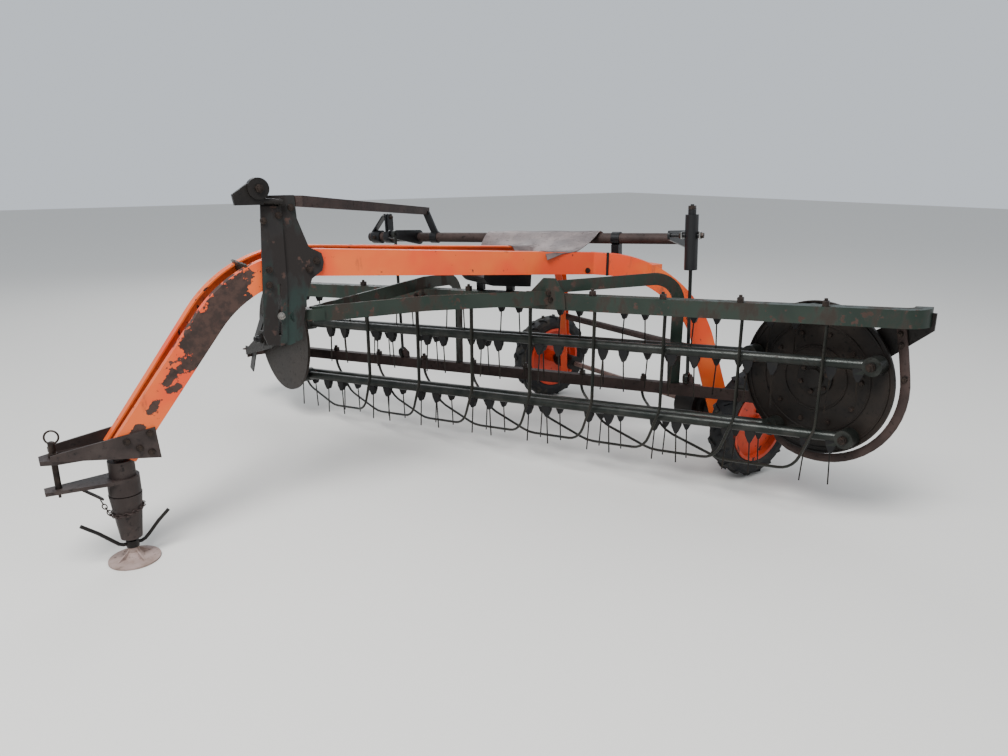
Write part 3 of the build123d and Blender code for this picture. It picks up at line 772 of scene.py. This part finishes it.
def filleted(points, radii, step=0.2):
    """A path through 2-D points with its corners rounded; step is the angle between points on an arc."""
    path = [Vector(points[0])]
    for before, corner, after, radius in zip(points, points[1:], points[2:], radii):
        corner = Vector(corner)
        way_in, way_out = (corner - Vector(before)).normalized(), (Vector(after) - corner).normalized()
        turn = -way_in.angle_signed(way_out)
        half = math.tan(abs(turn) / 2) * radius
        start = corner - way_in * half
        steps = max(2, int(abs(turn) / step))
        centre = start + Vector((-way_in.y, way_in.x)) * math.copysign(radius, turn)
        for i in range(steps + 1):
            angle = turn * i / steps
            arm = start - centre
            path.append(centre + Vector((arm.x * math.cos(angle) - arm.y * math.sin(angle),
                                         arm.x * math.sin(angle) + arm.y * math.cos(angle))))
    return path + [Vector(points[-1])]


def path_normals(path):
    """The direction to the left of the path at each of its points."""
    normals = []
    for i in range(len(path)):
        way = (path[min(i + 1, len(path) - 1)] - path[max(i - 1, 0)]).normalized()
        normals.append(Vector((-way.y, way.x)))
    return normals


# The strippers: their places along the basket, and how far they reach ahead of the reel and behind it.
# The one under the left beam has a low nut, because the lifted basket comes near the beam there.
HOOPS_W = [330 + 357 * k for k in range(8)]
HOOP_AHEAD = 415
HOOP_BEHIND = 573
UNDER_BEAM = 4
# A step across the spin axis runs this share back along the basket and this share ahead of it.
ACROSS_BACK = 0.932
ACROSS_AHEAD = 0.3627


class RAKE_OT_strippers(bpy.types.Operator):
    """Models one stripper, flat at its ends and round under the reel, and sets eight along the basket"""
    bl_idname = "rake.strippers"
    bl_label = "Strippers"

    def execute(self, context):
        path = filleted([(HOOP_AHEAD, 384), (HOOP_AHEAD, -170), (330, -395), (-60, -462), (-400, -405),
                         (-HOOP_BEHIND, -250), (-HOOP_BEHIND, -124)], (130, 130, 300, 160, 90))
        stations = []
        for point, normal in zip(path, path_normals(path)):
            flat = min(1.0, max(0.0, (point.y + 330) / 300))
            wide, deep = 7.5 + 5.0 * flat, 7.0 - 1.5 * flat
            stations.append((REAR + from_head(*point), SPIN * wide * MM, from_head(*normal) * deep))
        model = run_section(octagon(1, 0.5), stations)
        hoops = []
        for w in HOOPS_W:
            hoop = twin_of(model)
            hoop.location = ALONG * w * MM
            apply_place(hoop)
            hoops.append(hoop)
        bpy.data.objects.remove(model)
        finish_piece(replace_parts(join(hoops), "strippers"), "stripper_bars", "stripper_steel", "basket")
        tops = [(self.end(w, HOOP_AHEAD, 369), RISE, 0.8) for w in HOOPS_W]
        low = tops.pop(UNDER_BEAM)
        feet = [(self.end(w, -HOOP_BEHIND, -139), RISE, 0.8) for w in HOOPS_W]
        nuts = copies(bolt(0.027, 0.021, 4, 0.010), tops + feet) + copies(bolt(0.024, 0.006, 4), [low])
        finish_piece(join(nuts), "stripper_nuts", "bolts", "basket")
        return {"FINISHED"}

    def end(self, w, across, z):
        return basket(w - ACROSS_BACK * across, ACROSS_AHEAD * across, z)


class RAKE_OT_end_guard(bpy.types.Operator):
    """Models the guard bar that runs round the rear head from the front beam down to the bearing bracket"""
    bl_idname = "rake.end_guard"
    bl_label = "End guard"

    def execute(self, context):
        off, radius = -71, 391
        path = [Vector((336, 356)), Vector((339, 290)), Vector((362, 190))]
        for i in range(18):
            angle = math.radians(12 - 118 * i / 17)
            path.append(Vector((math.cos(angle), math.sin(angle))) * radius)
        path += [Vector((-160, -352)), Vector((-205, -270)), Vector((-232, -165))]
        section = [(-1, -0.6), (-0.8, -1), (0.8, -1), (1, -0.6), (1, 0.6), (0.8, 1), (-0.8, 1), (-1, 0.6)]
        stations = [(REAR + from_head(*point, off), from_head(*normal) * 20, SPIN * 0.007)
                    for point, normal in zip(path, path_normals(path))]
        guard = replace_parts(run_section(section, stations), "end_guard")
        finish_piece(guard, "guard_bar", "rusty_steel", "basket", 50)
        spots = [(341, 262), (352, 215), (384, 70), (-222, -190)]
        places = [(REAR + from_head(a, b, off + 7), SPIN, a) for a, b in spots]
        fasten("guard_bolts", "basket", bolt(0.022, 0.009, 6, 0.005), places)
        return {"FINISHED"}


# The cover: where it starts and ends along the basket, and its two end lines, ahead and up.
COVER_START = 1221
COVER_END = 1950
COVER_REAR = ((-566, 588), (-551, 608), (-528, 626), (-496, 634), (-460, 628), (-415, 610), (-340, 590),
              (-250, 572), (-160, 556), (-112, 525), (-40, 528), (60, 530))
COVER_FRONT = ((-566, 566), (-552, 592), (-528, 620), (-496, 633), (-466, 624), (-440, 608), (-418, 592),
               (-400, 576), (-386, 561), (-374, 549), (-364, 541), (-357, 535))


class RAKE_OT_cover(bpy.types.Operator):
    """Models the weathered sheet that lies over the rockshaft and down on to the left beam"""
    bl_idname = "rake.cover"
    bl_label = "Cover"

    def execute(self, context):
        corner_cut, ripple = 79, 1.5
        rows = len(COVER_REAR) - 1
        bpy.ops.object.select_all(action="DESELECT")
        bpy.ops.mesh.primitive_grid_add(x_subdivisions=28, y_subdivisions=rows, size=2, location=(0, 0, 0))
        sheet = context.active_object
        for vert in sheet.data.vertices:
            share = (vert.co.x + 1) / 2
            row = round((vert.co.y + 1) / 2 * rows)
            rear, front = Vector(COVER_REAR[row]), Vector(COVER_FRONT[row])
            p, z = rear.lerp(front, share)
            w = COVER_START + (COVER_END - COVER_START) * share
            w += corner_cut * (1 - share) * max(0, (rear.x + 112) / 172)
            point = basket(w, p, z + ripple * math.sin(w * 0.024 + row))
            point.z = max(point.z, ORIGIN.z + self.drape(point - ORIGIN))
            vert.co = point
        thick = sheet.modifiers.new("Sheet", "SOLIDIFY")
        thick.thickness = 0.003
        thick.offset = 0
        alone(sheet)
        bpy.ops.object.modifier_apply(modifier="Sheet")
        finish_piece(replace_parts(sheet, "shield"), "cover_sheet", "grey_sheet", "frame", 60)
        return {"FINISHED"}

    def drape(self, place):
        """How high the sheet must lie to clear the beams' top flanges; it sags between and beyond them."""
        flange, edge, clear, drop = 0.048, 0.003, 0.0025, 0.06
        web_y = WEB_Y * MM - WEB_SLOPE * place.x
        inside, outside = web_y - flange - abs(place.y), abs(place.y) - web_y - edge
        if inside > 0:
            sag = (inside / 0.06) ** 2 * drop
        else:
            sag = (max(outside, 0) / 0.01) ** 2 * drop
        return beam_height(place.x) + clear - sag


def tube(inner, outer, length, sides=32):
    """Open tube up the Z axis from z 0."""
    bpy.ops.object.select_all(action="DESELECT")
    bpy.ops.mesh.primitive_circle_add(vertices=sides, radius=outer, location=(0, 0, 0))
    first = bpy.context.active_object
    bpy.ops.mesh.primitive_circle_add(vertices=sides, radius=inner, location=(0, 0, 0))
    made = join([bpy.context.active_object, first])
    bpy.ops.object.mode_set(mode="EDIT")
    bpy.ops.mesh.select_all(action="SELECT")
    bpy.ops.mesh.bridge_edge_loops()
    bpy.ops.mesh.select_all(action="SELECT")
    bpy.ops.mesh.extrude_region_move(TRANSFORM_OT_translate={"value": (0, 0, length)})
    bpy.ops.object.mode_set(mode="OBJECT")
    return made


class RAKE_OT_bearings(bpy.types.Operator):
    """Models the rockshaft's three bearings: two on feet near the cover and one hung from the stay"""
    bl_idname = "rake.bearings"
    bl_label = "Bearings"

    def execute(self, context):
        stations_w = (1127, 1520, 2355)
        objs = copies(tube(0.031, 0.037, 0.048), [(shaft(w - 24), ALONG, 0) for w in stations_w])
        for w, low in zip(stations_w, (446, 496)):
            foot = [(low, 1.5), (low + 12, 1.5), (low + 13, 1), (561, 1)]
            stations = [(shaft(w, z), AHEAD * size, ALONG) for z, size in foot]
            objs.append(run_section(flat_section(0.030, 0.022), stations))
        strap = [(shaft(w, z), ALONG, AHEAD) for w, z in ((2356, 627), (2368, 650), (2418, 760))]
        objs.append(run_section(flat_section(0.024, 0.008), strap))
        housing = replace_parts(join(objs), "rockshaft_bearings")
        finish_piece(housing, "shaft_bearings", "black_paint", "frame")
        return {"FINISHED"}


class RAKE_OT_jack_fittings(bpy.types.Operator):
    """Models the jack's bent crank bar with its hub, and the ribbed cone that stands on the foot plate"""
    bl_idname = "rake.jack_fittings"
    bl_label = "Jack fittings"

    def execute(self, context):
        low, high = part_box("jack_screw")
        screw = Vector(((low.x + high.x) / 2, (low.y + high.y) / 2, ORIGIN.z))
        points = [(-183, 205), (-124, 156), (-70, 102), (-52, 84), (-36, 77), (36, 77), (52, 84), (70, 102),
                  (112, 150), (158, 192)]
        path = [Vector(p) for p in points]
        stations = []
        for point, normal in zip(path, path_normals(path)):
            middle = screw + Vector((-point.x, 0, point.y)) * MM
            stations.append((middle, Vector((-normal.x, 0, normal.y)), Y))
        bar = run_section(octagon(0.008, 0), stations)
        hub = tube(0.0145, 0.026, 0.030, 24)
        settle(hub, screw + Z * 0.062)
        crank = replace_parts(join([bar, hub]), "jack_crank")
        finish_piece(crank, "crank_bar", "dark_steel", "jack_leg", 50)
        flare = tube(0.0145, 0.024, 0.034, 24)
        for vert in flare.data.vertices:
            if vert.co.z < 0.01 and vert.co.xy.length > 0.02:
                vert.co.x, vert.co.y = vert.co.x * 2.1, vert.co.y * 2.1
        neck = tube(0.0145, 0.0235, 0.058, 24)
        wall = [(-0.003, 0.0), (0.003, 0.0), (0.003, 1.0), (-0.003, 1.0)]
        slope = ((0.018, 0.054), (0.030, 0.040), (0.080, 0.006))
        ribs = []
        for i in range(4):
            way = Vector((math.cos(i * math.pi / 2 + 0.4), math.sin(i * math.pi / 2 + 0.4), 0))
            ribs.append(run_section(wall, [(way * reach, way.cross(Z), Z * tall) for reach, tall in slope]))
        cone = join([flare, neck] + ribs)
        settle(cone, screw + Z * 0.0045)
        finish_piece(cone, "foot_cone", "foot_steel", "jack_leg")
        return {"FINISHED"}


class RAKE_OT_frame_plates(bpy.types.Operator):
    """Models the band on the left leg near the seam, and the strap behind the reel's front bracket"""
    bl_idname = "rake.frame_plates"
    bl_label = "Frame plates"

    def execute(self, context):
        way, out = Vector((-0.7511, 0.6602, 0)), Vector((0.6602, 0.7511, 0))
        root = web(SEAM_X, 0, 0) + way * 0.075 + out * 0.0015
        band = run_section(flat_section(0.007, 0.002), [(root + Z * z, way, out) for z in (1.062, 1.187)])
        finish_piece(band, "seam_band", "dark_steel", "frame")
        way = (SPIN_ACROSS * -0.5 - Z).normalized()
        drop = [(-160, 110), (-300, -60), (-430, -310)]
        strap = run_section(flat_section(0.026, 0.004),
                            [(FRONT + from_head(*place, 107.5), way.cross(SPIN), SPIN) for place in drop])
        stub = round_bar(0.024, 0.090, 28, 0.0, 0.004)
        settle(stub, FRONT + SPIN * 0.140, SPIN)
        nut = copies(bolt(0.036, 0.014, 6, 0.004), [(FRONT + SPIN * 0.228, SPIN, 0.3)])
        finish_piece(join([strap, stub] + nut), "end_strap", "black_paint", "basket")
        return {"FINISHED"}


class RAKE_OT_shaft_end(bpy.types.Operator):
    """Models the upright arm on the rockshaft's front end: collars, a slanted bar and a fork with its pin"""
    bl_idname = "rake.shaft_end"
    bl_label = "Shaft end"

    def execute(self, context):
        objs = []
        for radius, length, w in ((0.043, 0.070, 2776), (0.031, 0.012, 2862), (0.041, 0.052, 2690)):
            collar = round_bar(radius, length, 28, 0.0, 0.004)
            settle(collar, shaft(w), ALONG)
            objs.append(collar)
        objs.append(self.bar(shaft(2846, 620), shaft(2738, 742), (ALONG + RISE * 0.9).normalized()))
        objs += [self.bar(shaft(w, 600), shaft(w, 745), ALONG) for w in (2702, 2726)]
        finish_piece(join(objs), "shaft_arm", "black_paint", "rockshaft")
        places = [(shaft(2731, 722), ALONG, 0.1), (shaft(2697, 722), -ALONG, 0.4),
                  (basket(2811, -457, SHAFT_Z), AHEAD, 0.4)]
        fasten("arm_bolts", "rockshaft", bolt(0.022, 0.010, 6, 0.004), places)
        return {"FINISHED"}

    def bar(self, low, high, face):
        """A flat bar from low to high, its top end rounded."""
        shape = ((0, 1), (0.86, 1), (0.96, 0.7), (1, 0.3))
        stations = [(low.lerp(high, share), AHEAD * width, face) for share, width in shape]
        return run_section(flat_section(0.024, 0.005), stations)


# The camera: its place, its level direction and how far it looks down.
CAMERA_SPOT = (3291, 3330, 1650)
CAMERA_WAY = Vector((-0.5674, -0.8235, 0)).normalized()
CAMERA_PITCH = math.radians(15.87)
# Soft lamps: name, power in watts, width and place in metres.
LAMPS = (("key", 900, 3.0, (3.5, 3.0, 6.5)), ("fill", 120, 6.0, (-5.0, 5.0, 4.0)),
         ("back", 200, 5.0, (-2.0, -6.0, 5.0)))


class RAKE_OT_stage(bpy.types.Operator):
    """Lays the pale floor, sets soft studio light and puts the camera at the photograph's angle"""
    bl_idname = "rake.stage"
    bl_label = "Stage"

    def execute(self, context):
        bpy.ops.object.select_all(action="DESELECT")
        bpy.ops.mesh.primitive_plane_add(size=60, location=(0, 0, -0.001))
        floor = context.active_object
        floor.name = "floor"
        floor.data.materials.append(plain_floor("matt floor", tuple(context.scene.rake_colours.floor)))
        self.light(context)
        self.camera(context)
        return {"FINISHED"}

    def light(self, context):
        world = bpy.data.worlds.new("soft sky")
        world.use_nodes = True
        world.node_tree.nodes["Background"].inputs["Color"].default_value = (0.86, 0.92, 1.0, 1.0)
        world.node_tree.nodes["Background"].inputs["Strength"].default_value = 0.8
        context.scene.world = world
        for name, power, size, place in LAMPS:
            lamp = bpy.data.lights.new(name, "AREA")
            lamp.energy = power
            lamp.size = size
            obj = bpy.data.objects.new(name, lamp)
            obj.location = place
            obj.rotation_euler = (Vector((0, 0, 0.7)) - Vector(place)).to_track_quat("-Z", "Y").to_euler()
            context.collection.objects.link(obj)

    def camera(self, context):
        """Eye height, off the reel's front left, looking back and down at the middle of the rake."""
        lens = bpy.data.cameras.new("camera")
        lens.lens = 27.0
        lens.sensor_width = 36.0
        camera = bpy.data.objects.new("camera", lens)
        context.collection.objects.link(camera)
        camera.location = spot(*CAMERA_SPOT)
        look = CAMERA_WAY * math.cos(CAMERA_PITCH) - Z * math.sin(CAMERA_PITCH)
        camera.rotation_euler = look.to_track_quat("-Z", "Y").to_euler()
        context.scene.camera = camera


OPERATORS = (RAKE_OT_finishes, RAKE_OT_bolts, RAKE_OT_hitch_pin, RAKE_OT_keeper_chain,
             RAKE_OT_spring_yoke, RAKE_OT_wheel_fittings, RAKE_OT_head_castings, RAKE_OT_strippers,
             RAKE_OT_end_guard, RAKE_OT_cover, RAKE_OT_painted_shade_trough, RAKE_OT_bearings,
             RAKE_OT_jack_fittings, RAKE_OT_frame_plates, RAKE_OT_shaft_end, RAKE_OT_stage)


class RAKE_PT_panel(bpy.types.Panel):
    """Lists the rake's sizes, colours and steps"""
    bl_idname = "RAKE_PT_panel"
    bl_label = "Rake"
    bl_space_type = "VIEW_3D"
    bl_region_type = "UI"
    bl_category = "Rake"

    def draw(self, context):
        for group in (context.scene.rake_sizes, context.scene.rake_colours):
            for name in group.__annotations__:
                self.layout.prop(group, name)
        for operator in OPERATORS:
            self.layout.operator(operator.bl_idname)


CLASSES = (RakeSizes, RakeColours) + OPERATORS + (RAKE_PT_panel,)


def register():
    for cls in CLASSES:
        bpy.utils.register_class(cls)
    bpy.types.Scene.rake_sizes = PointerProperty(type=RakeSizes)
    bpy.types.Scene.rake_colours = PointerProperty(type=RakeColours)


def unregister():
    del bpy.types.Scene.rake_colours
    del bpy.types.Scene.rake_sizes
    for cls in reversed(CLASSES):
        bpy.utils.unregister_class(cls)


def main():
    register()
    bpy.ops.rake.finishes()
    bpy.ops.rake.bolts()
    bpy.ops.rake.hitch_pin()
    bpy.ops.rake.keeper_chain()
    bpy.ops.rake.spring_yoke()
    bpy.ops.rake.wheel_fittings()
    bpy.ops.rake.head_castings()
    bpy.ops.rake.strippers()
    bpy.ops.rake.end_guard()
    bpy.ops.rake.cover()
    bpy.ops.rake.under_plate()
    bpy.ops.rake.bearings()
    bpy.ops.rake.jack_fittings()
    bpy.ops.rake.frame_plates()
    bpy.ops.rake.shaft_end()
    bpy.ops.rake.stage()


if __name__ == "__main__":
    main()
